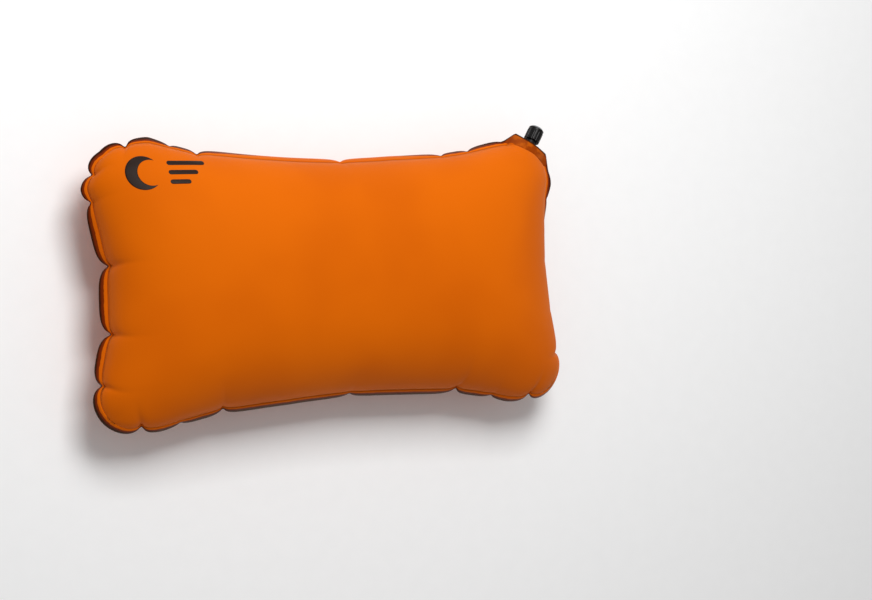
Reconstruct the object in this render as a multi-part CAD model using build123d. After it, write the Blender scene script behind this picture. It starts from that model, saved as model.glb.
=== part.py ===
"""Self-inflating camp pillow, lying on its back panel.

Two coated-fabric panels are welded together round a wide flange and hold an open-cell foam core.
One corner is closed by a straight tab with a twist valve in it: a boat-shaped base welded between
the panels, a threaded stem, a fixed sealing pin, and a cap that turns on the thread and lifts off
the pin to let air through.

Frame, in millimetres: X along the pillow's length, Y across it, Z up through its thickness.
The origin is the middle of the flat patch of the back panel that rests on the ground.
"""

import math
import os

from build123d import *

# The pillow, inflated
LENGTH = 458.0  # over the flange, at the corners
WIDTH = 254.0
THICKNESS = 100.0
LONG_SIDE_DIP = 21.0  # how far the middle of each long side is drawn in
SHORT_SIDE_DIP = 11.0
CORNER_RADIUS = 40.0
FLANGE_WIDTH = 8.0  # the welded margin round the chamber
FABRIC = 0.5
WELD = 0.2  # the two coatings, fused into one layer
FOAM_GAP = 0.4  # glue between the foam and each panel

# How a panel rises from its weld to the flat crown, as shares of the way in
RINGS = (0.0, 0.03, 0.1, 0.22, 0.4, 0.62, 0.85, 1.0)
CROWN_WIDTH = 0.38  # of the chamber's width
CROWN_LENGTH = 0.6  # of the chamber's length
RISE_IN, RISE_OUT = 2.2, 0.75  # exponents of the rise: level at the crown, steep at the weld
RING_POINTS = 56

# The valve tab. The valve's axis leaves the corner at VALVE_ANGLE from X. All the valve's heights
# are measured along that axis, outward from the tab's edge.
VALVE_ANGLE = 58.0
TAB_REACH = 38.0  # from the corner's centre to the tab's straight edge
TAB_LENGTH = 40.0
TAB_WELD = 12.5  # the tab's flange is wider than the rest

# Valve base: a lens-shaped block, so that both panels lie smoothly on it
BOAT_HALF_LENGTH, BOAT_HALF_HEIGHT = 17.0, 5.2
BOAT_INNER, BOAT_OUTER = -12.0, -0.3
BOAT_WRAP = -17.0  # where the fabric round the base has run into the chamber's wall
POCKET_DEPTH, POCKET_ROOM = 24.0, 1.5  # clear space in the foam round the valve's inner end

# Valve stem
BORE_RADIUS, TUBE_RADIUS, TUBE_INNER = 2.6, 3.6, -18.0
LOCK_RADIUS, LOCK_LENGTH = 4.6, 1.8  # flange that holds the stem behind the base
NECK_RADIUS, NECK_TOP = 5.1, 6.2  # smooth seat for the cap's sealing ring
CORE_RADIUS, STEM_TOP = 4.3, 13.2
GROOVE_RADIUS = 3.95  # for the retaining ring

# Thread: trapezoid ridges on the stem and in the cap, one in the other's gaps
PITCH = 2.4
RIDGE_ROOT, RIDGE_TIP = 1.2, 0.8  # widths
ROOT_SINK = 0.1  # how deep a ridge stands in its wall
STEM_RIDGE_START, STEM_RIDGE_TURNS = 7.0, 1.8
CAP_RIDGE_START, CAP_RIDGE_TURNS = 7.0, 0.85
CAP_RIDGE_RADIUS = 4.5  # of its tip

# Sealing pin, on spokes in the stem's mouth
PIN_SEAT_RADIUS, PIN_SEAT_BOTTOM, PIN_HUB_LENGTH = 3.4, 9.3, 2.6
PIN_RADIUS, PIN_HEAD_RADIUS, PIN_HEAD_BOTTOM, PIN_TOP = 1.1, 1.9, 13.45, 14.9
PIN_TAPER = 0.2
SPOKES, SPOKE_WIDTH, SPOKE_DEPTH = 3, 0.9, 1.4
PIN_SEAL_HEIGHT, PIN_SEAL_SECTION = 14.15, 0.35

# Split ring that stops the cap at the end of its lift
RETAINER_BOTTOM, RETAINER_THICKNESS, RETAINER_RADIUS = 12.2, 0.5, 5.1
RETAINER_OPENING = 30.0  # degrees

# Cap, screwed down
CAP_BOTTOM, CAP_TOP, CAP_RADIUS = 2.6, 17.0, 7.75
CAP_CHAMFER = 0.4
CAVITY_RADIUS, CAVITY_TOP = 5.35, 13.4
RIM_RADIUS, RIM_BOTTOM, RIM_CHAMFER = 7.5, 13.0, 1.6  # smooth, for lips or a pump's hose
MOUTH_RADIUS, FLARE_RADIUS, FLARE_BOTTOM = 2.3, 3.2, 15.6
FLUTES, FLUTE_RADIUS, FLUTE_DEPTH = 12, 1.6, 0.5
RING_SECTION, RING_HEIGHT = 0.4, 3.3  # sealing ring between cap and neck

SEATED = 0.03  # clearance of parts that are pressed or clipped together
RUNNING = 0.05  # clearance of the cap's ring
PAST = 1.0  # how far a cut runs past the face that it opens

SEAM_HEIGHT = THICKNESS / 2
CORNER = Vector(LENGTH / 2 - CORNER_RADIUS, WIDTH / 2 - CORNER_RADIUS)
OUTWARD = Vector(math.cos(math.radians(VALVE_ANGLE)), math.sin(math.radians(VALVE_ANGLE)))
TAB_MIDDLE = CORNER + OUTWARD * TAB_REACH
# The valve's own frame: z outward along its axis, y up through the pillow's thickness
UPWARD = Vector(0, 0, 1)
VALVE = Plane(origin=TAB_MIDDLE + UPWARD * SEAM_HEIGHT, x_dir=UPWARD.cross(OUTWARD), z_dir=OUTWARD)
STANDING = (Align.CENTER, Align.CENTER, Align.MIN)


def hollow_centre(along, across, middle, radius):
    """Centre, along a side's normal, of the arc that hollows it and touches both corner arcs.

    The corner arcs have the given radius and lie along from the side's middle and across from
    the pillow's centre line. The arc passes through the side's middle.
    """
    rise = middle - across
    return middle + (along**2 + rise**2 - radius**2) / (2 * (radius - rise))


def outline(inset):
    """The pillow's outline, inset from its edge: four hollow sides between four round corners."""
    radius = CORNER_RADIUS - inset
    long_side = WIDTH / 2 - LONG_SIDE_DIP - inset
    short_side = LENGTH / 2 - SHORT_SIDE_DIP - inset
    long_centre = Vector(0, hollow_centre(CORNER.X, CORNER.Y, long_side, radius))
    short_centre = Vector(hollow_centre(CORNER.Y, CORNER.X, short_side, radius), 0)
    on_long = CORNER + (long_centre - CORNER).normalized() * radius
    on_short = CORNER + (short_centre - CORNER).normalized() * radius
    on_corner = CORNER + Vector(1, 1).normalized() * radius
    edges = []
    for x in (1, -1):
        for y in (1, -1):
            edges.append(ThreePointArc(*[(p.X * x, p.Y * y) for p in (on_short, on_corner, on_long)]))
    for sign in (1, -1):
        ends = [(on_long.X * x, on_long.Y * sign) for x in (1, -1)]
        edges.append(ThreePointArc(ends[0], (0, long_side * sign), ends[1]))
        ends = [(on_short.X * sign, on_short.Y * y) for y in (1, -1)]
        edges.append(ThreePointArc(ends[0], (short_side * sign, 0), ends[1]))
    return make_face(edges)


def tab_plate(depth):
    """The valve tab: a rectangle from its straight edge, depth into the pillow."""
    edge = Location((TAB_MIDDLE.X, TAB_MIDDLE.Y, 0), (0, 0, VALVE_ANGLE - 90))
    return edge * Pos(0, -depth / 2) * Rectangle(TAB_LENGTH, depth)


def beyond_tab(depth):
    """Everything further out than depth inside the tab's edge."""
    edge = Location((TAB_MIDDLE.X, TAB_MIDDLE.Y, 0), (0, 0, VALVE_ANGLE - 90))
    return edge * Pos(0, TAB_LENGTH / 2 - depth) * Rectangle(2 * TAB_LENGTH, TAB_LENGTH)


def plate():
    """The panels' flat outline, with the tab."""
    return outline(0) - beyond_tab(0) + tab_plate(TAB_LENGTH)


def chamber_plate():
    """The chamber's outline at the weld. The tab's wider weld cuts its corner straight."""
    return outline(FLANGE_WIDTH) - beyond_tab(TAB_WELD)


def half_chamber(inset, height):
    """The chamber's upper half: rings of its outline, drawn in as they rise to a flat crown."""
    edge = chamber_plate().face().outer_wire()
    shares = [i / RING_POINTS for i in range(RING_POINTS)]
    points = [edge @ share + UPWARD.cross(edge % share) * inset for share in shares]
    wires = []
    for share in RINGS:
        along = 1 - share * (1 - CROWN_LENGTH)
        across = 1 - share * (1 - CROWN_WIDTH)
        rise = height * (1 - (1 - share) ** RISE_IN) ** RISE_OUT
        wires.append(Wire([Spline(*[(p.X * along, p.Y * across, rise) for p in points], periodic=True)]))
    return Solid.make_loft(wires)


def boat(grow, bottom, top):
    """The base's lens section, grown by the thickness of what wraps it, between two heights."""
    rise = BOAT_HALF_HEIGHT + grow
    half = BOAT_HALF_LENGTH * rise / BOAT_HALF_HEIGHT
    lens = make_face([ThreePointArc((-half, 0), (0, side * rise), (half, 0)) for side in (1, -1)])
    return Pos(0, 0, bottom) * extrude(lens, top - bottom)


def panel():
    """The front panel and its flange, above z = 0 as the seam plane."""
    lift = Pos(0, 0, WELD / 2)
    to_seam = Pos(0, 0, -SEAM_HEIGHT)
    dome = lift * half_chamber(0, SEAM_HEIGHT - WELD / 2)
    hollow = lift * half_chamber(FABRIC, SEAM_HEIGHT - WELD / 2 - FABRIC)
    flange = lift * extrude(plate(), FABRIC)
    upper = Pos(TAB_MIDDLE.X, TAB_MIDDLE.Y, WELD / 2) * Box(
        3 * TAB_LENGTH, 3 * TAB_LENGTH, SEAM_HEIGHT, align=STANDING
    )
    wrap = to_seam * (VALVE * boat(FABRIC, BOAT_WRAP, 0)) & upper
    seat = to_seam * (VALVE * boat(0, -POCKET_DEPTH, PAST))
    return dome + flange + wrap - hollow - seat


def front_shell():
    return Pos(0, 0, SEAM_HEIGHT) * panel()


def back_shell():
    return Pos(0, 0, SEAM_HEIGHT) * mirror(panel(), Plane.XY)


def perimeter_weld():
    """The fused coatings between the two flanges, all round the chamber."""
    band = Pos(0, 0, SEAM_HEIGHT - WELD / 2) * extrude(plate() - chamber_plate(), WELD)
    return band - VALVE * boat(0, -POCKET_DEPTH, PAST)


def foam_core():
    """The foam, with a pocket that keeps the valve's inner end clear."""
    inset = FABRIC + FOAM_GAP
    half = half_chamber(inset, SEAM_HEIGHT - inset)
    block = Pos(0, 0, SEAM_HEIGHT) * (half + mirror(half, Plane.XY))
    pocket = Box(
        2 * (BOAT_HALF_LENGTH + POCKET_ROOM), 2 * (BOAT_HALF_HEIGHT + POCKET_ROOM), 2 * POCKET_DEPTH
    )
    return block - VALVE * pocket


def turned(profile, degrees=360):
    """A solid turned about the valve's axis from its profile's (radius, height) corners."""
    return revolve(make_face(Polyline(*[(r, 0, h) for r, h in profile], close=True)), Axis.Z, degrees)


def tube(inner, outer, bottom, top, degrees=360):
    return turned([(inner, bottom), (outer, bottom), (outer, top), (inner, top)], degrees)


def ridge(root, tip, start, turns):
    """One thread ridge: a trapezoid swept up a right-hand helix, from its root radius to its tip."""
    corners = [
        (root, -RIDGE_ROOT / 2),
        (tip, -RIDGE_TIP / 2),
        (tip, RIDGE_TIP / 2),
        (root, RIDGE_ROOT / 2),
    ]
    section = make_face(Polyline(*[(r, 0, h) for r, h in corners], close=True))
    path = Helix(PITCH, PITCH * turns, root)
    return Pos(0, 0, start) * sweep(section, path=path, is_frenet=True)


def ring(inner_radius, section, height):
    """An O-ring that lies outside inner_radius."""
    return VALVE * Pos(0, 0, height) * Torus(inner_radius + section, section)


def valve_base():
    return VALVE * (boat(0, BOAT_INNER, BOAT_OUTER) - tube(0, TUBE_RADIUS + SEATED, BOAT_INNER - PAST, PAST))


def valve_stem():
    """The tube that carries the air, clipped through the base, with its neck and thread outside."""
    lock_top = BOAT_INNER - SEATED
    neck_bottom = BOAT_OUTER + SEATED
    body = turned(
        [
            (BORE_RADIUS, TUBE_INNER),
            (TUBE_RADIUS, TUBE_INNER),
            (TUBE_RADIUS, lock_top - LOCK_LENGTH),
            (LOCK_RADIUS, lock_top - LOCK_LENGTH),
            (LOCK_RADIUS, lock_top),
            (TUBE_RADIUS, lock_top),
            (TUBE_RADIUS, neck_bottom),
            (NECK_RADIUS, neck_bottom),
            (NECK_RADIUS, NECK_TOP),
            (CORE_RADIUS, NECK_TOP),
            (CORE_RADIUS, STEM_TOP),
            (PIN_SEAT_RADIUS, STEM_TOP),
            (PIN_SEAT_RADIUS, PIN_SEAT_BOTTOM),
            (BORE_RADIUS, PIN_SEAT_BOTTOM),
        ]
    )
    groove = tube(
        GROOVE_RADIUS,
        CORE_RADIUS + PAST,
        RETAINER_BOTTOM - SEATED,
        RETAINER_BOTTOM + RETAINER_THICKNESS + SEATED,
    )
    thread = ridge(CORE_RADIUS - ROOT_SINK, NECK_RADIUS, STEM_RIDGE_START, STEM_RIDGE_TURNS)
    return VALVE * (body + thread - groove)


def sealing_pin():
    """The pin that plugs the cap's mouth, on spokes across a hub in the top of the stem."""
    hub_bottom = PIN_SEAT_BOTTOM + SEATED
    hub = tube(BORE_RADIUS, PIN_SEAT_RADIUS - SEATED, hub_bottom, hub_bottom + PIN_HUB_LENGTH)
    groove_radius = PIN_HEAD_RADIUS - PIN_SEAL_SECTION
    groove_half = PIN_SEAL_SECTION + SEATED
    pin = turned(
        [
            (0, hub_bottom),
            (PIN_RADIUS, hub_bottom),
            (PIN_RADIUS, PIN_HEAD_BOTTOM - PIN_TAPER),
            (PIN_HEAD_RADIUS, PIN_HEAD_BOTTOM),
            (PIN_HEAD_RADIUS, PIN_SEAL_HEIGHT - groove_half),
            (groove_radius, PIN_SEAL_HEIGHT - groove_half),
            (groove_radius, PIN_SEAL_HEIGHT + groove_half),
            (PIN_HEAD_RADIUS, PIN_SEAL_HEIGHT + groove_half),
            (PIN_HEAD_RADIUS - PIN_TAPER, PIN_TOP),
            (0, PIN_TOP),
        ]
    )
    reach = (BORE_RADIUS + PIN_SEAT_RADIUS) / 2
    spoke = Pos(0, 0, hub_bottom) * Box(
        reach, SPOKE_WIDTH, SPOKE_DEPTH, align=(Align.MIN, Align.CENTER, Align.MIN)
    )
    body = hub + pin
    for i in range(SPOKES):
        body += Rot(0, 0, i * 360 / SPOKES) * spoke
    return VALVE * body


def pin_seal():
    """The O-ring on the pin's head."""
    return ring(PIN_HEAD_RADIUS - PIN_SEAL_SECTION + SEATED, PIN_SEAL_SECTION, PIN_SEAL_HEIGHT)


def retaining_ring():
    return VALVE * tube(
        GROOVE_RADIUS + SEATED,
        RETAINER_RADIUS,
        RETAINER_BOTTOM,
        RETAINER_BOTTOM + RETAINER_THICKNESS,
        360 - RETAINER_OPENING,
    )


def cap_ring():
    """The O-ring that slides along the neck as the cap lifts."""
    return ring(NECK_RADIUS + RUNNING, RING_SECTION, RING_HEIGHT)


def valve_cap():
    """The fluted cap, with its ridge, its ring's groove, a smooth rim and the mouth."""
    seat_radius = NECK_RADIUS + 2 * RING_SECTION + 2 * RUNNING
    seat_half = RING_SECTION + RUNNING
    body = turned(
        [
            (CAVITY_RADIUS, CAP_BOTTOM),
            (CAP_RADIUS - CAP_CHAMFER, CAP_BOTTOM),
            (CAP_RADIUS, CAP_BOTTOM + CAP_CHAMFER),
            (CAP_RADIUS, RIM_BOTTOM - CAP_CHAMFER),
            (RIM_RADIUS, RIM_BOTTOM),
            (RIM_RADIUS, CAP_TOP - RIM_CHAMFER),
            (RIM_RADIUS - RIM_CHAMFER, CAP_TOP),
            (FLARE_RADIUS, CAP_TOP),
            (MOUTH_RADIUS, FLARE_BOTTOM),
            (MOUTH_RADIUS, CAVITY_TOP),
            (CAVITY_RADIUS, CAVITY_TOP),
            (CAVITY_RADIUS, RING_HEIGHT + seat_half),
            (seat_radius, RING_HEIGHT + seat_half),
            (seat_radius, RING_HEIGHT - seat_half),
            (CAVITY_RADIUS, RING_HEIGHT - seat_half),
        ]
    )
    # The cap's ridge lies half a pitch below the stem's, so it starts further round the same helix.
    turn = (CAP_RIDGE_START - STEM_RIDGE_START + PITCH / 2) / PITCH * 360
    root = CAVITY_RADIUS + ROOT_SINK
    body += Rot(0, 0, turn) * ridge(root, CAP_RIDGE_RADIUS, CAP_RIDGE_START, CAP_RIDGE_TURNS)
    flute = Pos(CAP_RADIUS + FLUTE_RADIUS - FLUTE_DEPTH, 0, 0) * Cylinder(
        FLUTE_RADIUS, RIM_BOTTOM - CAP_CHAMFER, align=STANDING
    )
    for i in range(FLUTES):
        body -= Rot(0, 0, i * 360 / FLUTES) * flute
    return VALVE * body


PARTS = (
    front_shell,
    back_shell,
    perimeter_weld,
    foam_core,
    valve_base,
    valve_stem,
    sealing_pin,
    pin_seal,
    retaining_ring,
    cap_ring,
    valve_cap,
)

os.makedirs("parts", exist_ok=True)
for make in PARTS:
    solids = make().solids()
    export_step(solids[0] if len(solids) == 1 else Compound(solids), f"parts/{make.__name__}.step")
    print(make.__name__, len(solids), "solid,", round(sum(s.volume for s in solids), 1), "mm3")
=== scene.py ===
"""The looks of the camp pillow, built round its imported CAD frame.

The chamber is one closed cloth: two panels that share a seam. The seam is drawn into lobes between
sharp notches, as a stiff welded flange buckles when the pillow fills, and a cloth simulation with
air pressure pulls the panels taut between them. Everything is in metres, in the frame's own axes.
"""

import math

import bpy
import numpy as np
from mathutils import Matrix, Vector
from mathutils.bvhtree import BVHTree

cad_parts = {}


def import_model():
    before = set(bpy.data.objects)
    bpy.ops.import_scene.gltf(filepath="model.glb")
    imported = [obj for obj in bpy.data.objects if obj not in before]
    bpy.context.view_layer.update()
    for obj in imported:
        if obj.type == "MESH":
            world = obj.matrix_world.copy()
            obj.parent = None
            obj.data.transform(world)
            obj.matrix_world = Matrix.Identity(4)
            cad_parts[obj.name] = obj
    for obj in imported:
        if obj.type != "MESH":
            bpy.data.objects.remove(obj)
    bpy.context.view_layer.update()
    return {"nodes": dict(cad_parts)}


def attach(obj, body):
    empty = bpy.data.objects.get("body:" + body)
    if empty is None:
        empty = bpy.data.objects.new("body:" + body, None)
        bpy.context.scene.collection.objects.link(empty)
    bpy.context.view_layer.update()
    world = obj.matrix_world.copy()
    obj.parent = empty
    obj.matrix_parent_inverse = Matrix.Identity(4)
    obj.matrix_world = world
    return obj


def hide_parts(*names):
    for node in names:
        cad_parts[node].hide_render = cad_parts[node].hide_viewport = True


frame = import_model()

MM = 0.001

# The pillow's outline, as the CAD has it
LENGTH, WIDTH = 458 * MM, 254 * MM
LONG_SIDE_DIP, SHORT_SIDE_DIP = 21 * MM, 11 * MM
CORNER_RADIUS = 40 * MM
CORNER = np.array([LENGTH / 2 - CORNER_RADIUS, WIDTH / 2 - CORNER_RADIUS])
SEAM_HEIGHT = 50 * MM
FLANGE = 8 * MM
FABRIC = 0.5 * MM
HALF_WELD = 0.1 * MM
FLAT_LENGTH, FLAT_WIDTH = 470 * MM, 268 * MM  # of a panel's cloth inside the weld, laid flat

# The valve's tab: a straight edge across one corner. The valve's heights run outward from there.
VALVE_ANGLE = math.radians(58)
OUT = np.array([math.cos(VALVE_ANGLE), math.sin(VALVE_ANGLE)])
ALONG = np.array([-OUT[1], OUT[0]])
TAB_EDGE = 38 * MM  # from the corner's centre
TAB_MIDDLE = CORNER + OUT * TAB_EDGE
TAB_HALF, TAB_BASE_HALF = 20 * MM, 23.5 * MM
TAB_WELD = 12.5 * MM
TAB_HORN = 1.2 * MM  # how far the tab's corners stand out past its middle
BOAT_HALF, BOAT_RISE = 19 * MM, 6.1 * MM
BOAT_FADE = 14 * MM  # how far the base's swell runs into the panels
TAB_REACH = 45 * MM  # the tab changes the outline only this near the corner's centre
TAB_INWARD = 40 * MM  # and only this far inside its own edge
POCKET_DEPTH, POCKET_HALF, POCKET_BLEND = 24 * MM, 19 * MM, 8 * MM
CAP_CHAMFER, CAP_END = 15.4 * MM, 17 * MM  # heights of the cap's chamfer

# Notches of the flange, clockwise from the one at the left of the printed corner. Each has its
# place in mm, to the nearest 5, its depth in mm, how far the lobe after it swells out in mm, how
# far that lobe's flange leans back in degrees, and how dark its weld is painted: partly the weld's
# own scorching, partly painted shade, light along the top and right edges where the flange faces
# the light, dark on the left and bottom where it lies in shade.
DEEP, MIDDLING, SHALLOW = 11, 7, 4
NOTCHES = (
    (-225, 95, DEEP, -5, 42, 1.3),
    (-190, 125, DEEP, 3, 46, 1.7),
    (-150, 120, SHALLOW, 0, 58, 1.6),
    (-125, 115, MIDDLING, 0, 66, 0.3),
    (10, 105, SHALLOW, -1, 66, 0.3),
    (110, 115, SHALLOW, -4, 60, 1.2),
    (140, 120, SHALLOW, -3, 56, 1.4),
    (180, 125, MIDDLING, 0, 30, 1),
    (230, 100, MIDDLING, 3, 15, 1.2),
    (225, 65, SHALLOW, 0, 66, 0.4),
    (220, 5, SHALLOW, 1, 66, 0.4),
    (220, -40, SHALLOW, 1, 66, 0.4),
    (230, -80, DEEP, 2, 60, 0.9),
    (190, -125, DEEP, 3, 62, 1.3),
    (150, -120, SHALLOW, 1, 64, 1.5),
    (110, -115, MIDDLING, 3, 64, 1.6),
    (5, -105, SHALLOW, 4, 64, 1.8),
    (-115, -115, MIDDLING, 2, 60, 1.9),
    (-155, -120, SHALLOW, 3, 60, 1.8),
    (-190, -125, DEEP, 3, 56, 1.4),
    (-230, -85, DEEP, 0, 48, 1.1),
    (-220, -40, DEEP, 0, 45, 1.1),
    (-220, 15, DEEP, 1, 45, 1.1),
    (-225, 70, MIDDLING, 3, 45, 1.1),
)
SEAM_REACH = 5.5 * MM  # how far along the outline a notch draws the weld's inner edge in
TAPER_REACH = 6 * MM  # how far from a notch the flange narrows
CUSP = 0.8  # how a notch's depth falls off beside it: below 1 is sharper
NARROWEST = 0.12  # of the flange's width, at a deep notch
NOTCH_INWARD = 13 * MM  # how far a notch's crease runs into the panels
FOLD, FOLD_REACH = 1.6 * MM, 4 * MM  # how far the flange folds out of its plane at a notch
FULL_FOLD_DEPTH = 6 * MM  # the depth from which a notch folds the flange fully
LEAN_START, LEAN_END = 0.85, 1.15  # the lean at the weld's inner edge and at the free edge

# The front panel's crown is at HIGHEST above the seam; the back one lies flat from FLATTENED on
HIGHEST = 50 * MM
FLATTENED, FLAT_BLEND = 48 * MM, 2.5 * MM
START_HEIGHT = 49.4 * MM  # of the chamber's crown before it is pulled taut
LONG_POWER, SHORT_POWER, EDGE_POWER = 4.5, 2.4, 0.55  # how that crown falls off to its sides

CELLS_LONG, CELLS_SHORT = 176, 98  # of a panel's grid
FLANGE_CELLS = 5
FOAM_INSET, FOAM_GAP = 11 * MM, 1.75 * MM  # from the seam, and from the panels' inner faces
SIM_FRAMES = 20
PRESSURE = 3.0

MARK_MIDDLE = np.array([-163, 92]) * MM
MARK_CELL = 1.2 * MM  # of the mark's mesh, so that it follows the cloth
MOON_PLACE = MARK_MIDDLE - np.array([19, 0]) * MM
MOON_RADIUS, BITE_RADIUS, BITE = 15 * MM, 11.5 * MM, 6.5 * MM
MOON_POINTS = 64
BARS_PLACE = MARK_MIDDLE + np.array([2, 8.5]) * MM  # the top bar's left end
BAR_LENGTHS = (30 * MM, 22 * MM, 14 * MM)
BAR_STEP, BAR_HALF = 8.5 * MM, 2 * MM
BLUNT_END = 0.02  # of a bar's half width, so that its ends keep an area
INK_LIFT, INK_THICKNESS = 0.12 * MM, 0.04 * MM


# ---- The outline ----


def hollow_centre(along, across, middle, radius):
    """Centre, along a side's normal, of the arc that hollows it and touches both corner arcs."""
    rise = middle - across
    return middle + (along**2 + rise**2 - radius**2) / (2 * (radius - rise))


def arc(centre, radius, start, end, count=300):
    """Points along an arc, between two angles."""
    turn = np.linspace(start, end, count)
    return np.stack([centre[0] + radius * np.cos(turn), centre[1] + radius * np.sin(turn)], 1)


def outline_quarter(inset):
    """Two lines: from the top's middle to the corner's, and from there to the right side's."""
    radius = CORNER_RADIUS - inset
    top = WIDTH / 2 - LONG_SIDE_DIP - inset
    end = LENGTH / 2 - SHORT_SIDE_DIP - inset
    long_centre = hollow_centre(CORNER[0], CORNER[1], top, radius)
    short_centre = hollow_centre(CORNER[1], CORNER[0], end, radius)
    long_turn = math.atan2(CORNER[0], long_centre - CORNER[1])
    short_turn = math.atan2(CORNER[1], short_centre - CORNER[0])
    quarter_turn = math.pi / 2
    first = [
        arc((0, long_centre), long_centre - top, -quarter_turn, long_turn - quarter_turn),
        arc(CORNER, radius, quarter_turn + long_turn, quarter_turn / 2)[1:],
    ]
    second = [
        arc(CORNER, radius, quarter_turn / 2, -short_turn),
        arc((short_centre, 0), short_centre - end, math.pi - short_turn, math.pi)[1:],
    ]
    return np.concatenate(first), np.concatenate(second)


def resample(points, count):
    """count + 1 points along a line, evenly spaced."""
    far = np.r_[0, np.cumsum(np.linalg.norm(np.diff(points, axis=0), axis=1))]
    at = np.linspace(0, far[-1], count + 1)
    return np.stack([np.interp(at, far, points[:, i]) for i in (0, 1)], 1)


def smooth_loop(inset):
    """The smooth outline as one clockwise loop, from the top left corner's middle."""
    to_corner, from_corner = outline_quarter(inset)
    top = resample(np.concatenate([(to_corner * [-1, 1])[::-1], to_corner[1:]]), CELLS_LONG)
    right = resample(np.concatenate([from_corner, (from_corner * [1, -1])[::-1][1:]]), CELLS_SHORT)
    return np.concatenate([top[:-1], right[:-1], -top[:-1], -right[:-1]])


def loop_normals(loop):
    """Outward normals of a clockwise loop."""
    along = np.roll(loop, -1, axis=0) - np.roll(loop, 1, axis=0)
    along /= np.linalg.norm(along, axis=1)[:, None]
    return np.stack([-along[:, 1], along[:, 0]], 1)


def flange_lobes(loop):
    """For each point of the loop: the lobes' swell, lean and weld darkness (scorching and painted
    shade), and the notches' three effects.

    Those are how far the seam is drawn in, the flange's width, and how far it folds.
    """
    steps = np.linalg.norm(np.roll(loop, -1, axis=0) - loop, axis=1)
    at, total = np.r_[0, np.cumsum(steps)[:-1]], steps.sum()
    table = np.array(NOTCHES)
    notch_at = at[np.argmin(np.linalg.norm(loop[None] - table[:, None, :2] * MM, axis=2), axis=1)]
    middles = notch_at + ((np.roll(notch_at, -1) - notch_at) % total) / 2
    swell = np.interp(at, middles, table[:, 3], period=total) * MM
    lean = np.radians(np.interp(at, middles, table[:, 4], period=total))
    # How dark each lobe's weld is painted: its scorching and painted shade
    burn_and_shade = np.interp(at, middles, table[:, 5], period=total)
    drawn, narrowed, fold = np.zeros(len(loop)), np.zeros(len(loop)), np.zeros(len(loop))
    for i, (place, deep) in enumerate(zip(notch_at, table[:, 2] * MM)):
        away = np.abs((at - place + total / 2) % total - total / 2)
        reach = FLANGE * math.cos(np.interp(place, at, lean))
        own = min(deep, reach * (1 - NARROWEST))
        drawn += (deep - own) * np.exp(-((away / SEAM_REACH) ** CUSP))
        narrowed += own / reach * np.exp(-((away / TAPER_REACH) ** CUSP))
        way = 1 if i % 2 else -1
        fold += way * min(1, deep / FULL_FOLD_DEPTH) * np.exp(-away / FOLD_REACH)
    width = FLANGE * np.maximum(1 - narrowed, NARROWEST)
    return swell, lean, burn_and_shade, drawn, width, fold * FOLD


def seam_and_flange(smooth):
    """The weld's inner edge, the flange from there out, and how dark its weld is painted, for
    scorching and painted shade.

    The flange is rings of points, each with its share of the flange's width and its front normals.
    """
    normal = loop_normals(smooth)
    swell, lean, burn_and_shade, drawn, width, fold = flange_lobes(smooth)
    seam = smooth + normal * (FLANGE * (1 - np.cos(lean)) + swell - drawn)[:, None]
    outward = (seam - TAB_MIDDLE) @ OUT
    sideways = (smooth - TAB_MIDDLE) @ ALONG
    near = (np.linalg.norm(smooth - CORNER, axis=1) < TAB_REACH) & (outward > -TAB_INWARD)
    cut = near & (outward > -TAB_WELD)
    seam[cut] -= OUT * (outward[cut] + TAB_WELD)[:, None]
    tab = near & (np.abs(sideways) < TAB_BASE_HALF)
    across = sideways[tab, None] / TAB_BASE_HALF
    tab_edge = TAB_MIDDLE + ALONG * across * TAB_HALF + OUT * TAB_HORN * (across**4 - 1)
    plan, height, rings = seam.copy(), np.zeros(len(seam)), []
    for share in np.linspace(0, 1, FLANGE_CELLS + 1):
        turned = lean * (LEAN_START + (LEAN_END - LEAN_START) * share)
        ring = np.concatenate([plan, (height + fold * share)[:, None]], 1)
        face = np.concatenate([normal * np.sin(turned)[:, None], np.cos(turned)[:, None]], 1)
        ring[tab, :2] = seam[tab] + (tab_edge - seam[tab]) * share
        ring[tab, 2] = 0
        face[tab] = (0, 0, 1)
        rings.append((share, ring, face))
        plan = plan + normal * (width / FLANGE_CELLS * np.cos(turned))[:, None]
        height = height - width / FLANGE_CELLS * np.sin(turned)
    return seam, rings, np.where(tab, 1, burn_and_shade)


# ---- The chamber ----


def fill(loop):
    """A grid of points inside the loop, blended from its four sides."""
    long, short = CELLS_LONG, CELLS_SHORT
    closed = np.concatenate([loop, loop[:1]])
    top = closed[: long + 1][:, None]
    right = closed[long : long + short + 1][None]
    bottom = closed[long + short : 2 * long + short + 1][::-1][:, None]
    left = closed[2 * long + short :][::-1][None]
    u = np.linspace(0, 1, long + 1)[:, None, None]
    v = np.linspace(0, 1, short + 1)[None, :, None]
    corners = (1 - u) * (1 - v) * top[0, 0] + u * (1 - v) * top[-1, 0]
    corners = corners + (1 - u) * v * bottom[0, 0] + u * v * bottom[-1, 0]
    return (1 - v) * top + v * bottom + (1 - u) * left + u * right - corners


def loop_indices():
    """The grid's point numbers, and those of the loop round it."""
    index = np.arange((CELLS_LONG + 1) * (CELLS_SHORT + 1)).reshape(CELLS_LONG + 1, CELLS_SHORT + 1)
    sides = [index[:-1, 0], index[-1, :-1], index[:0:-1, -1], index[0, :0:-1]]
    return index, np.concatenate(sides)


def from_edge():
    """How far each grid point is from the grid's edge, roughly."""
    u = np.abs(np.linspace(-1, 1, CELLS_LONG + 1))[:, None]
    v = np.abs(np.linspace(-1, 1, CELLS_SHORT + 1))[None]
    return np.minimum((1 - u) * LENGTH / 2, (1 - v) * WIDTH / 2)


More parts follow.
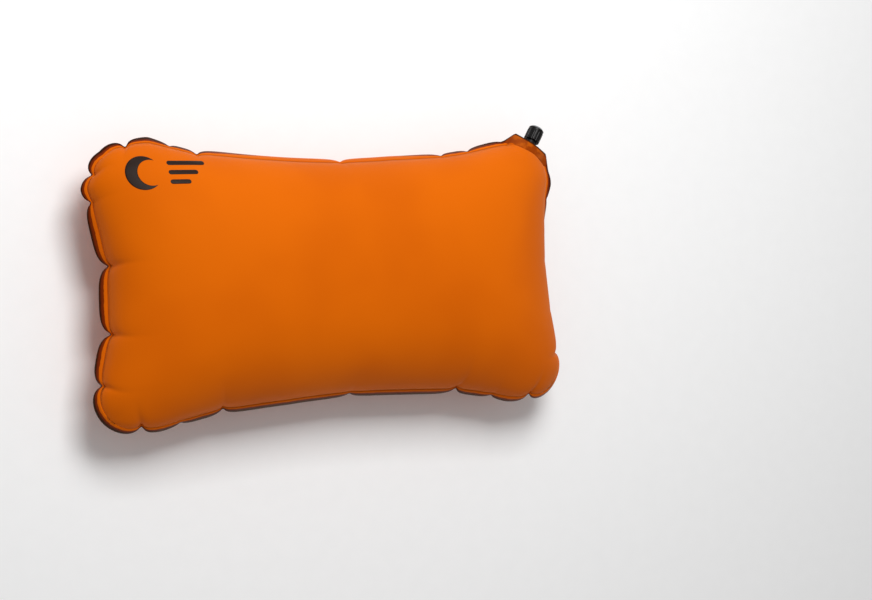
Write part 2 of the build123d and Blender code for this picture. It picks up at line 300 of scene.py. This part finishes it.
def chamber_start(smooth, seam):
    """The front panel before it is pulled taut, as a grid of points above the seam plane."""
    u = np.abs(np.linspace(-1, 1, CELLS_LONG + 1))[:, None]
    v = np.abs(np.linspace(-1, 1, CELLS_SHORT + 1))[None]
    crown = (1 - u**LONG_POWER) ** EDGE_POWER * (1 - v**SHORT_POWER) ** EDGE_POWER
    near = np.exp(-from_edge() / NOTCH_INWARD)[:, :, None]
    plan = fill(smooth)
    plan = plan + (fill(seam) - plan) * near
    return np.concatenate([plan, START_HEIGHT * crown[:, :, None]], 2).reshape(-1, 3)


def grid_faces(index, upward):
    """The faces of a grid of point numbers."""
    corners = [index[:-1, :-1], index[:-1, 1:], index[1:, 1:], index[1:, :-1]]
    faces = np.stack(corners, -1).reshape(-1, 4)
    return faces if upward else faces[:, ::-1]


def mesh_object(name, points, faces):
    """A smooth-shaded mesh in the scene."""
    mesh = bpy.data.meshes.new(name)
    mesh.from_pydata(np.asarray(points).tolist(), [], np.asarray(faces).tolist())
    mesh.update()
    mesh.polygons.foreach_set("use_smooth", [True] * len(mesh.polygons))
    piece = bpy.data.objects.new(name, mesh)
    bpy.context.scene.collection.objects.link(piece)
    return piece


def bag_mesh(name, front, back):
    """A closed mesh of two grids of points that share their outer loop."""
    index, loop = loop_indices()
    inside = np.ones(index.size, bool)
    inside[loop] = False
    back_index = np.arange(index.size)
    back_index[inside] = index.size + np.arange(inside.sum())
    points = np.concatenate([front, back[inside]])
    faces = [grid_faces(index, True), grid_faces(back_index.reshape(index.shape), False)]
    return mesh_object(name, points, np.concatenate(faces))


def inflate(front):
    """Runs the cloth simulation on both panels, and returns the front panel's points."""
    bag = bag_mesh("chamber_cloth", front, front * [1, 1, -1])
    index, loop = loop_indices()
    bag.vertex_groups.new(name="seam").add([int(i) for i in loop], 1, "REPLACE")
    cloth = bag.modifiers.new("air", "CLOTH")
    settings = cloth.settings
    settings.quality = 6
    settings.mass = 0.1
    settings.tension_stiffness = 40
    settings.compression_stiffness = 40
    settings.shear_stiffness = 15
    settings.bending_stiffness = 0.3
    settings.air_damping = 4
    settings.use_pressure = True
    settings.uniform_pressure_force = PRESSURE
    settings.vertex_group_mass = "seam"
    settings.effector_weights.gravity = 0
    cloth.collision_settings.use_collision = False
    for step in range(1, SIM_FRAMES + 1):
        bpy.context.scene.frame_set(step)
    shown = bag.evaluated_get(bpy.context.evaluated_depsgraph_get())
    result = np.zeros(len(bag.data.vertices) * 3, np.float32)
    shown.data.vertices.foreach_get("co", result)
    bpy.data.objects.remove(bag)
    bpy.context.scene.frame_set(1)
    return result.reshape(-1, 3)[: index.size].astype(float)


def soft_limit(value, limit, blend):
    """The smaller of value and limit, with a rounded bend between them."""
    return (value + limit - np.sqrt((value - limit) ** 2 + blend**2)) / 2


def heights(front, side):
    """How high a panel's outer face stands off the seam plane. The back one lies on the floor."""
    rise = np.sqrt(front[:, 2] ** 2 + boat_swell(front) ** 2) + HALF_WELD + FABRIC
    if side < 0:
        rise = soft_limit(rise, FLATTENED, FLAT_BLEND)
    return rise * HIGHEST / rise.max()


def boat_swell(points):
    """How far the valve's base lifts the tab's fabric off the seam plane."""
    away = points[:, :2] - TAB_MIDDLE
    across = np.clip(np.abs(away @ ALONG) / BOAT_HALF, 0, 1)
    inward = np.clip((-(away @ OUT) - TAB_WELD) / BOAT_FADE, 0, 1)
    return BOAT_RISE * (1 - across**2) * (1 - inward) ** 2


# ---- The soft pieces ----


def strips(columns, upward):
    """Faces between neighbouring closed columns of point numbers."""
    faces = []
    for inner, outer in zip(columns[:-1], columns[1:]):
        strip = np.stack([inner, outer, np.roll(outer, -1), np.roll(inner, -1)], 1)
        faces.append(strip if upward else strip[:, ::-1])
    return np.concatenate(faces)


def cloth_places(smooth, flange, burn_and_shade):
    """Each point's place in the flat cloth, and how dark its weld is painted, for scorching and
    painted shade: about 1 at the free edge.
    """
    loop = loop_indices()[1]
    u = np.linspace(-0.5, 0.5, CELLS_LONG + 1)[:, None] * FLAT_LENGTH
    v = np.linspace(0.5, -0.5, CELLS_SHORT + 1)[None] * FLAT_WIDTH
    grid = np.stack(np.broadcast_arrays(u, v, -from_edge() / FLANGE), -1).reshape(-1, 3)
    outward = loop_normals(smooth) * FLANGE
    places = [grid]
    for share, _, _ in flange[1:]:
        flat = grid[loop, :2] + outward * share
        places.append(np.concatenate([flat, (burn_and_shade * share)[:, None]], 1))
    return np.concatenate(places)


def smoothed(piece):
    """Rounds the mesh once between its points."""
    fine = piece.modifiers.new("fine", "SUBSURF")
    fine.levels = fine.render_levels = 1


def thickened(piece, thickness, offset):
    """Gives a surface its thickness: inward for an offset of -1, both ways for 0, outward for 1."""
    thick = piece.modifiers.new("thickness", "SOLIDIFY")
    thick.thickness = thickness
    thick.offset = offset


def panel(name, side, front, flange, places):
    """A panel with its flange, as a cloth with the fabric's thickness. side is 1 or -1."""
    index, loop = loop_indices()
    chamber = front.copy()
    chamber[:, 2] = side * heights(front, side)
    rings = [chamber]
    for _, ring, face in flange[1:]:
        swollen = ring + [0, 0, side] * boat_swell(ring)[:, None]
        rings.append(swollen + face * side * (HALF_WELD + FABRIC))
    points = np.concatenate(rings) + [0, 0, SEAM_HEIGHT]
    count = len(loop)
    columns = [loop] + [index.size + i * count + np.arange(count) for i in range(FLANGE_CELLS)]
    faces = np.concatenate([grid_faces(index, side > 0), strips(columns, side > 0)])
    piece = mesh_object(name, points, faces)
    cloth = piece.data.attributes.new("cloth", "FLOAT_VECTOR", "POINT")
    cloth.data.foreach_set("vector", places.astype(np.float32).ravel())
    smoothed(piece)
    thickened(piece, FABRIC, -1)
    return piece


def seam_weld(flange):
    """The fused coatings between the two flanges, open where the valve's base lies."""
    rings = [ring for _, ring, _ in flange[1:]]
    count = len(rings[0])
    points = np.concatenate(rings)
    faces = strips([i * count + np.arange(count) for i in range(FLANGE_CELLS)], True)
    covered = boat_swell(points) > 0
    open_faces = faces[~covered[faces].any(axis=1)]
    piece = mesh_object("seam_weld", points + [0, 0, SEAM_HEIGHT], open_faces)
    smoothed(piece)
    thickened(piece, HALF_WELD, 0)
    return piece


def foam_block(front):
    """The foam between the panels, with a pocket that keeps the valve's inner end clear."""
    plan = fill(smooth_loop(FLANGE + FOAM_INSET)).reshape(-1, 2)
    away = plan - TAB_MIDDLE
    beside = np.clip((np.abs(away @ ALONG) - POCKET_HALF) / POCKET_BLEND, 0, 1)
    limit = -POCKET_DEPTH * (1 - beside**2 * (3 - 2 * beside))
    past = np.maximum(away @ OUT - limit, 0)
    corner = np.linalg.norm(plan - CORNER, axis=1) < 2 * CORNER_RADIUS
    plan = plan - OUT * (past * corner)[:, None]
    loop = loop_indices()[1]
    layers = []
    for side in (1, -1):
        rise = np.maximum(heights(front, side) - FABRIC - FOAM_GAP, 0)
        rise[loop] = 0
        layers.append(np.concatenate([plan, (SEAM_HEIGHT + side * rise)[:, None]], 1))
    return bag_mesh("foam_block", *layers)


def band(one, other):
    """A grid of points between two lines of as many points each, with its faces."""
    cells = max(2, math.ceil(np.linalg.norm(one - other, axis=1).max() / MARK_CELL))
    share = np.linspace(0, 1, cells + 1)[None, :, None]
    points = one[:, None] * (1 - share) + other[:, None] * share
    index = np.arange(points.shape[0] * points.shape[1]).reshape(points.shape[:2])
    return points.reshape(-1, 2), grid_faces(index, True)


def crescent(middle, radius, bite, bite_radius):
    """A moon: a disc less a smaller disc, whose centre lies bite further along +X."""
    reach = (radius**2 - bite_radius**2 + bite**2) / (2 * bite)
    tip = math.atan2(math.sqrt(radius**2 - reach**2), reach)
    inner_tip = math.atan2(math.sqrt(radius**2 - reach**2), reach - bite)
    turn = 2 * math.pi
    bite_middle = (middle[0] + bite, middle[1])
    outer = arc(middle, radius, tip, turn - tip, MOON_POINTS)
    inner = arc(bite_middle, bite_radius, inner_tip, turn - inner_tip, MOON_POINTS)
    return band(inner, outer)


def rounded_bar(start, length, half):
    """A bar with round ends, along +X from start."""
    x = np.linspace(0, 1, math.ceil(length / MARK_CELL) + 1)
    x = (1 - np.cos(math.pi * x)) / 2 * (length + 2 * half)
    inset = np.minimum(np.minimum(x, length + 2 * half - x), half)
    rise = np.sqrt(np.maximum(half**2 - (half - inset) ** 2, (BLUNT_END * half) ** 2))
    top = np.stack([start[0] + x, start[1] + rise], 1)
    bottom = np.stack([start[0] + x, start[1] - rise], 1)
    return band(bottom, top)


def printed_mark(cloth):
    """A sleeping moon and three bars, printed on the front panel."""
    shapes = [crescent(MOON_PLACE, MOON_RADIUS, BITE, BITE_RADIUS)]
    for row, length in enumerate(BAR_LENGTHS):
        shapes.append(rounded_bar(BARS_PLACE - np.array([0, row * BAR_STEP]), length, BAR_HALF))
    tree = BVHTree.FromObject(cloth, bpy.context.evaluated_depsgraph_get())
    points, faces = [], []
    # Each shape is dropped onto the cloth from 1 m up
    for plan, quads in shapes:
        faces.append(quads + sum(len(p) for p in points))
        hits = [tree.ray_cast(Vector((x, y, 1)), Vector((0, 0, -1)))[0] for x, y in plan]
        points.append(np.array(hits) + [0, 0, INK_LIFT])
    mark = mesh_object("printed_mark", np.concatenate(points), np.concatenate(faces))
    thickened(mark, INK_THICKNESS, 1)
    return mark


# ---- Materials ----


class Surface:
    """A node material under construction. Most methods add a node and return its output."""

    def __init__(self, name, constants):
        self.material = bpy.data.materials.new(name)
        self.material.use_nodes = True
        self.nodes = self.material.node_tree.nodes
        self.links = self.material.node_tree.links
        self.shader = self.nodes["Principled BSDF"]
        for socket, value in constants.items():
            self.shader.inputs[socket].default_value = value

    def node(self, kind, inputs, **settings):
        made = self.nodes.new("ShaderNode" + kind)
        for setting, value in settings.items():
            setattr(made, setting, value)
        for socket, value in inputs.items():
            if isinstance(value, bpy.types.NodeSocket):
                self.links.new(value, made.inputs[socket])
            else:
                made.inputs[socket].default_value = value
        return made

    def object_place(self):
        return self.node("TexCoord", {}).outputs["Object"]

    def attribute(self, name):
        return self.node("Attribute", {}, attribute_name=name).outputs["Vector"]

    def math(self, operation, first, second=0.0, third=0.0):
        inputs = {0: first, 1: second, 2: third}
        return self.node("Math", inputs, operation=operation).outputs[0]

    def parts(self, vector):
        return self.node("SeparateXYZ", {0: vector}).outputs

    def stretch(self, vector, scale):
        return self.node("VectorMath", {0: vector, 1: scale}, operation="MULTIPLY").outputs[0]

    def distance(self, vector, point):
        made = self.node("VectorMath", {0: vector, 1: point}, operation="DISTANCE")
        return made.outputs["Value"]

    def height_above(self, vector, point, direction):
        """How far vector lies from a point along a direction."""
        away = self.node("VectorMath", {0: vector, 1: point}, operation="SUBTRACT").outputs[0]
        made = self.node("VectorMath", {0: away, 1: direction}, operation="DOT_PRODUCT")
        return made.outputs["Value"]

    def noise(self, vector, scale, detail=3.0, roughness=0.5):
        inputs = {"Vector": vector, "Scale": scale, "Detail": detail, "Roughness": roughness}
        return self.node("TexNoise", inputs).outputs["Fac"]

    def cells(self, vector, scale):
        return self.node("TexVoronoi", {"Vector": vector, "Scale": scale}).outputs["Distance"]

    def spread(self, value, low, high, to_low=0.0, to_high=1.0):
        """Maps low..high smoothly to to_low..to_high."""
        inputs = {"Value": value, 1: low, 2: high, 3: to_low, 4: to_high}
        return self.node("MapRange", inputs, interpolation_type="SMOOTHSTEP").outputs[0]

    def mix(self, share, first, second):
        made = self.node("Mix", {0: share}, data_type="RGBA")
        for socket, value in ((6, first), (7, second)):
            if isinstance(value, bpy.types.NodeSocket):
                self.links.new(value, made.inputs[socket])
            else:
                made.inputs[socket].default_value = (*value, 1)
        return made.outputs[2]

    def bump(self, height, distance, strength=1.0, under=None):
        inputs = {"Height": height, "Distance": distance, "Strength": strength}
        if under:
            inputs["Normal"] = under
        return self.node("Bump", inputs).outputs["Normal"]

    def finish(self, color, roughness, normal):
        for socket, value in (("Base Color", color), ("Roughness", roughness), ("Normal", normal)):
            self.links.new(value, self.shader.inputs[socket])
        return self.material


ORANGE = (0.66, 0.118, 0.0009)
DEEP_ORANGE = (0.60, 0.101, 0.0007)
PALE_ORANGE = (0.76, 0.175, 0.002)
# The weld's two dark browns: partly the weld's scorching, partly painted shade; the darker is
# painted along the flange's cut edge, where it curls away from the light
BURNT_AND_SHADED, BURNT_AND_SHADED_EDGE = (0.17, 0.017, 0.001), (0.024, 0.003, 0.0007)
TAB_BROWN, TAB_PATCH = (0.29, 0.042, 0.001), (0.47, 0.088, 0.002)
FILM_AMBER, FILM_DARK = (0.16, 0.03, 0.006), (0.05, 0.01, 0.003)
# The first is painted shade in the foam's pores
PORE_SHADE, CREAM, AGED_CREAM = (0.42, 0.36, 0.22), (0.78, 0.72, 0.52), (0.8, 0.66, 0.4)
INK, THIN_INK = (0.016, 0.006, 0.003), (0.16, 0.03, 0.003)
BLACK, RUBBED_BLACK = (0.006, 0.006, 0.0065), (0.016, 0.015, 0.015)
CAP_BLACK, CAP_RUBBED = (0.003, 0.0024, 0.0024), (0.009, 0.008, 0.008)
# The pale grey of the painted highlight on the cap's chamfer
CHAMFER_HIGHLIGHT_GREY = (0.23, 0.23, 0.235)
RUBBER, DUST = (0.016, 0.016, 0.016), (0.06, 0.057, 0.052)
BOARD, PALE_BOARD = (0.90, 0.90, 0.90), (0.93, 0.93, 0.93)
WEAVE_PITCH = 0.45 * MM
TAB_CENTRE = (*TAB_MIDDLE, SEAM_HEIGHT)


def weave_height(surface, cloth):
    """A plain weave's bumps."""
    u, v, _ = surface.parts(cloth)
    turns = math.pi / WEAVE_PITCH
    over = surface.math("SINE", surface.math("MULTIPLY", u, turns))
    under = surface.math("SINE", surface.math("MULTIPLY", v, turns))
    return surface.math("MULTIPLY", over, under)


def panel_fabric():
    """Brushed orange polyester, darker and glossier where the flange is welded, with painted shade
    in that darker colour: deeper where the flange turns from the light, deepest along its cut edge.
    """
    constants = {
        "Sheen Weight": 0.16,
        "Sheen Roughness": 0.4,
        "Sheen Tint": (1, 0.5, 0.16, 1),
        "Specular IOR Level": 0.12,
        "Specular Tint": (1, 0.5, 0.15, 1),
    }
    surface = Surface("panel_fabric", constants)
    place = surface.object_place()
    cloth = surface.attribute("cloth")
    margin = surface.parts(cloth)[2]
    broad = surface.noise(place, 9, 2)
    fibres = surface.noise(surface.stretch(cloth, (1400, 3600, 0)), 1, 4, 0.65)
    color = surface.mix(surface.spread(broad, 0.35, 0.65), ORANGE, DEEP_ORANGE)
    color = surface.mix(surface.spread(fibres, 0.3, 0.75, 0, 0.25), color, PALE_ORANGE)
    # The weld: a scorched band with a ragged inner edge, with painted shade in its colour; painted
    # darkest along the cut, where the flange curls away from the light
    ragged = surface.math("MULTIPLY_ADD", surface.noise(place, 260, 3), 0.22, -0.11)
    across = surface.math("ADD", margin, ragged)
    burnt_and_shaded = surface.mix(surface.spread(across, 0.62, 0.98), BURNT_AND_SHADED, BURNT_AND_SHADED_EDGE)
    # The tab: welded in brown patches over the valve's base, and scorched round them, in the weld's
    # colours with their painted shade, darkest at the cut edge
    blotches = surface.spread(surface.noise(place, 130, 3, 0.5), 0.4, 0.62)
    from_tab = surface.distance(place, TAB_CENTRE)
    patches = surface.mix(blotches, TAB_BROWN, TAB_PATCH)
    patches = surface.mix(surface.spread(from_tab, 14 * MM, 23 * MM, 0, 0.7), patches, BURNT_AND_SHADED)
    patches = surface.mix(surface.spread(margin, 0.82, 0.96), patches, BURNT_AND_SHADED_EDGE)
    on_tab = surface.spread(from_tab, 25 * MM, 28 * MM, 1, 0)
    # The weld's colour, scorching and painted shade together
    welded = surface.mix(on_tab, burnt_and_shaded, patches)
    # The tab is welded further in than the flange
    further = surface.math("MULTIPLY", on_tab, -0.3)
    share = surface.spread(surface.math("SUBTRACT", across, further), 0.34, 0.44)
    color = surface.mix(share, color, welded)
    roughness = surface.spread(fibres, 0.2, 0.8, 0.56, 0.74)
    pressed = surface.math("MULTIPLY", share, -0.2)
    roughness = surface.math("ADD", roughness, pressed)
    woven = surface.bump(weave_height(surface, cloth), 0.03 * MM, 0.5)
    brushed = surface.bump(fibres, 0.05 * MM, 0.35, woven)
    normal = surface.bump(surface.noise(place, 240, 3), 0.5 * MM, 0.12, brushed)
    return surface.finish(color, roughness, normal)


def weld_film():
    """The fused coatings: a dark amber film with small bubbles."""
    surface = Surface("weld_film", {"Specular IOR Level": 0.5, "Coat Weight": 0.2})
    place = surface.object_place()
    bubbles = surface.cells(place, 900)
    color = surface.mix(surface.spread(bubbles, 0.1, 0.5), FILM_AMBER, FILM_DARK)
    roughness = surface.spread(surface.noise(place, 500), 0.3, 0.7, 0.25, 0.4)
    return surface.finish(color, roughness, surface.bump(bubbles, 0.05 * MM, 0.4))


def open_foam():
    """Cream open-cell foam, with painted shade in its pores."""
    surface = Surface("open_foam", {"Specular IOR Level": 0.2})
    place = surface.object_place()
    pores = surface.cells(place, 1100)
    # Painted shade: darker towards each pore's middle, where the pits are deepest
    color = surface.mix(surface.spread(pores, 0.05, 0.5), PORE_SHADE, CREAM)
    aged = surface.spread(surface.noise(place, 20), 0.35, 0.7, 0, 0.25)
    color = surface.mix(aged, color, AGED_CREAM)
    roughness = surface.spread(pores, 0.0, 0.6, 0.95, 0.8)
    return surface.finish(color, roughness, surface.bump(pores, 0.4 * MM, 0.8))


def printing_ink():
    """Dark brown ink that lets a little of the weave through."""
    surface = Surface("printing_ink", {"Specular IOR Level": 0.15})
    place = surface.object_place()
    thin = surface.noise(place, 1500, 4, 0.7)
    color = surface.mix(surface.spread(thin, 0.62, 0.8, 0, 0.5), INK, THIN_INK)
    roughness = surface.spread(thin, 0.3, 0.7, 0.42, 0.6)
    return surface.finish(color, roughness, surface.bump(thin, 0.04 * MM, 0.5))


def moulded_plastic(name, dark, light, rough):
    """Black moulded plastic with a fine spark texture and faint rubbed patches."""
    surface = Surface(name, {"Specular IOR Level": 0.18})
    place = surface.object_place()
    spark = surface.noise(place, 5200, 3, 0.6)
    rubbed = surface.noise(place, 330, 4, 0.6)
    color = surface.mix(surface.spread(rubbed, 0.5, 0.8), dark, light)
    roughness = surface.spread(rubbed, 0.35, 0.75, rough, rough - 0.12)
    return surface, place, color, roughness, surface.bump(spark, 0.03 * MM, 0.5)


def valve_plastic():
    """The plastic of the valve's base, stem, pin and ring."""
    surface, _, *sockets = moulded_plastic("valve_plastic", BLACK, RUBBED_BLACK, 0.5)
    return surface.finish(*sockets)


def cap_plastic():
    """The cap's plastic, with a painted highlight: pale grey round the chamfer of its outer end,
    where the lamp above would glint.
    """
    surface, place, *sockets = moulded_plastic("cap_plastic", CAP_BLACK, CAP_RUBBED, 0.4)
    color, roughness, normal = sockets
    # Painted highlight: a pale band round the cap's chamfer, ragged at its inner edge and fading
    # onto the end face
    height = surface.height_above(place, TAB_CENTRE, (*OUT, 0))
    wander = surface.math("MULTIPLY", surface.noise(place, 900, 4, 0.65), 0.9 * MM)
    chamfer_highlight = surface.math("ADD", height, wander)
    chamfer_highlight = surface.spread(chamfer_highlight, CAP_CHAMFER + 0.15 * MM, CAP_CHAMFER + 0.9 * MM, 0, 0.95)
    below_end = surface.spread(height, CAP_END - 0.12 * MM, CAP_END - 0.02 * MM, 1, 0.25)
    color = surface.mix(surface.math("MULTIPLY", chamfer_highlight, below_end), color, CHAMFER_HIGHLIGHT_GREY)
    return surface.finish(color, roughness, normal)


def seal_rubber():
    """Black rubber with a trace of dust."""
    surface = Surface("seal_rubber", {"Specular IOR Level": 0.3})
    place = surface.object_place()
    dust = surface.noise(place, 2200, 4, 0.7)
    color = surface.mix(surface.spread(dust, 0.5, 0.8), RUBBER, DUST)
    roughness = surface.spread(dust, 0.3, 0.7, 0.55, 0.8)
    return surface.finish(color, roughness, surface.bump(dust, 0.02 * MM, 0.4))


def studio_floor():
    """Pale painted board."""
    surface = Surface("studio_floor", {"Specular IOR Level": 0.1})
    place = surface.object_place()
    paint = surface.noise(place, 60, 3)
    color = surface.mix(paint, BOARD, PALE_BOARD)
    roughness = surface.spread(paint, 0.3, 0.7, 0.85, 0.95)
    return surface.finish(color, roughness, surface.bump(paint, 0.05 * MM, 0.1))


def set_material(piece, material):
    """Gives a piece one material."""
    piece.data.materials.clear()
    piece.data.materials.append(material)


# ---- The build ----

weld_edge = smooth_loop(FLANGE)
drawn_seam, flange_rings, weld_burn_and_shade = seam_and_flange(weld_edge)
front_grid = chamber_start(weld_edge, drawn_seam)
front_grid = inflate(front_grid)

flat_places = cloth_places(weld_edge, flange_rings, weld_burn_and_shade)
fabric = panel_fabric()
front_panel = panel("front_panel", 1, front_grid, flange_rings, flat_places)
back_panel = panel("back_panel", -1, front_grid, flange_rings, flat_places)
weld = seam_weld(flange_rings)
foam = foam_block(front_grid)
mark = printed_mark(front_panel)

set_material(front_panel, fabric)
set_material(back_panel, fabric)
set_material(weld, weld_film())
set_material(foam, open_foam())
set_material(mark, printing_ink())

for piece, slot in (
    (front_panel, "panel_fabric"),
    (back_panel, "panel_fabric"),
    (weld, "weld_film"),
    (foam, "foam"),
    (mark, "panel_fabric"),
):
    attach(piece, "pillow")
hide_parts("front_shell")
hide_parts("back_shell")
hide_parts("perimeter_weld")
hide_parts("foam_core")

plastic, rubber = valve_plastic(), seal_rubber()
for node, material in (
    ("valve_base", plastic),
    ("valve_stem", plastic),
    ("sealing_pin", plastic),
    ("retaining_ring", plastic),
    ("pin_seal", rubber),
    ("cap_ring", rubber),
    ("valve_cap", cap_plastic()),
):
    for slot in frame["nodes"][node].material_slots:
        slot.material = material

# ---- The studio ----

FLOOR_SIZE = 9
CAMERA_PLACE = Vector((-573, -58, 1377)) * MM
CAMERA_YAW, CAMERA_PITCH, CAMERA_ROLL = math.radians(26.8), math.radians(-1.2), math.radians(3.6)
CAMERA_LENS, CAMERA_SENSOR = 66, 36
WORLD_STRENGTH = 0.38
KEY_PLACE, KEY_SIZE, KEY_POWER = (0.0, 0.8, 1.27), 0.7, 19  # in metres and watts


def floor_plane():
    """The floor that the pillow lies on."""
    half = FLOOR_SIZE / 2
    corners = [(x, y, 0) for x, y in ((-half, -half), (half, -half), (half, half), (-half, half))]
    floor = mesh_object("studio_floor", corners, [(0, 1, 2, 3)])
    set_material(floor, studio_floor())


def camera():
    """The camera, placed over the pillow and turned by its three angles."""
    turn = Matrix.Rotation(CAMERA_PITCH, 4, "X") @ Matrix.Rotation(CAMERA_YAW, 4, "Y")
    turn = Matrix.Rotation(CAMERA_ROLL, 4, "Z") @ turn
    data = bpy.data.cameras.new("camera")
    data.lens = CAMERA_LENS
    data.sensor_width = CAMERA_SENSOR
    made = bpy.data.objects.new("camera", data)
    made.matrix_world = Matrix.Translation(CAMERA_PLACE) @ turn.transposed()
    bpy.context.scene.collection.objects.link(made)
    bpy.context.scene.camera = made


def area_light(name, place, size, power):
    """A square light that faces the pillow."""
    data = bpy.data.lights.new(name, "AREA")
    data.size = size
    data.energy = power
    made = bpy.data.objects.new(name, data)
    made.location = place
    facing = Vector((0, 0, SEAM_HEIGHT)) - Vector(place)
    made.rotation_euler = facing.to_track_quat("-Z", "Y").to_euler()
    bpy.context.scene.collection.objects.link(made)


def world():
    """Even white light from all round."""
    made = bpy.data.worlds.new("studio")
    made.use_nodes = True
    background = made.node_tree.nodes["Background"].inputs
    background["Strength"].default_value = WORLD_STRENGTH
    background["Color"].default_value = (1, 1, 1, 1)
    bpy.context.scene.world = made


floor_plane()
camera()
world()
area_light("key", KEY_PLACE, KEY_SIZE, KEY_POWER)
bpy.context.scene.view_settings.view_transform = "Standard"
